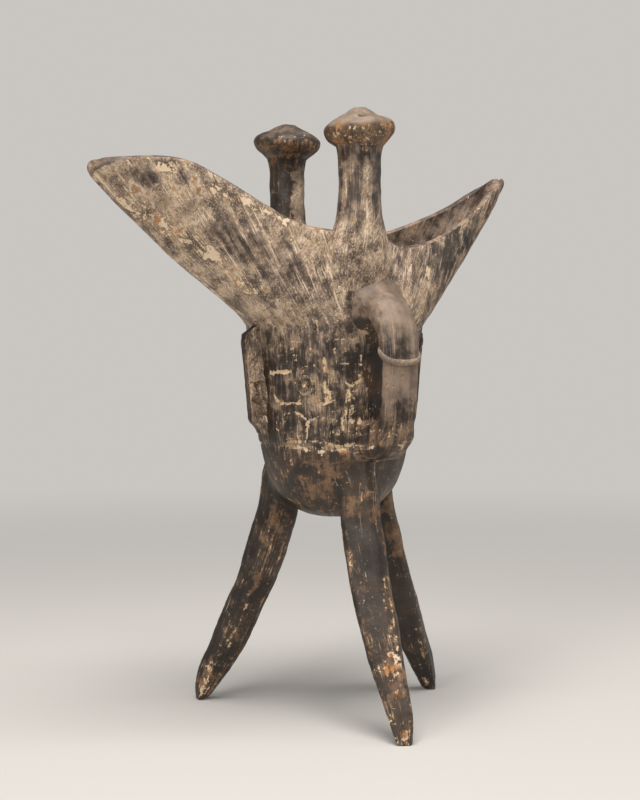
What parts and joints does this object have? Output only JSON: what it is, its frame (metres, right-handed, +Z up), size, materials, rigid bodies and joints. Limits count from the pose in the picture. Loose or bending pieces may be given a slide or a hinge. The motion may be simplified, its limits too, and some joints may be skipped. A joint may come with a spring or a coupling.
{
  "type": "jue tripod pouring vessel",
  "caption": "Tripod pouring vessel: deep cup with a long spout, pointed tail, side handle, capped rim posts and splayed legs.",
  "frame": {"origin": "bottom centre of the whole vessel's box, on the plane of the three feet", "axes": "+Z up; spout towards -X, tail towards +X, handle towards -Y"},
  "size_m": [0.16, 0.0982, 0.21],
  "materials": {
    "dusty_slip": "matt",
    "burnished_slip": "satin",
    "worn_slip": "worn satin"
  },
  "bodies": {
    "root": {"cup": "dusty_slip", "spout": "burnished_slip", "tail": "burnished_slip", "handle_side_leg": "worn_slip", "spout_side_leg": "worn_slip", "tail_side_leg": "worn_slip", "handle_strap": "burnished_slip", "handle_hood": "burnished_slip", "spout_side_flange": "worn_slip", "tail_side_flange": "worn_slip", "far_side_flange": "worn_slip", "handle_side_post": "dusty_slip", "handle_side_post_cap": "worn_slip", "far_side_post": "dusty_slip", "far_side_post_cap": "worn_slip", "eye_handle_spout_side": "worn_slip", "eye_handle_tail_side": "worn_slip", "eye_far_spout_side": "worn_slip", "eye_far_tail_side": "worn_slip"}
  },
  "joints": []
}
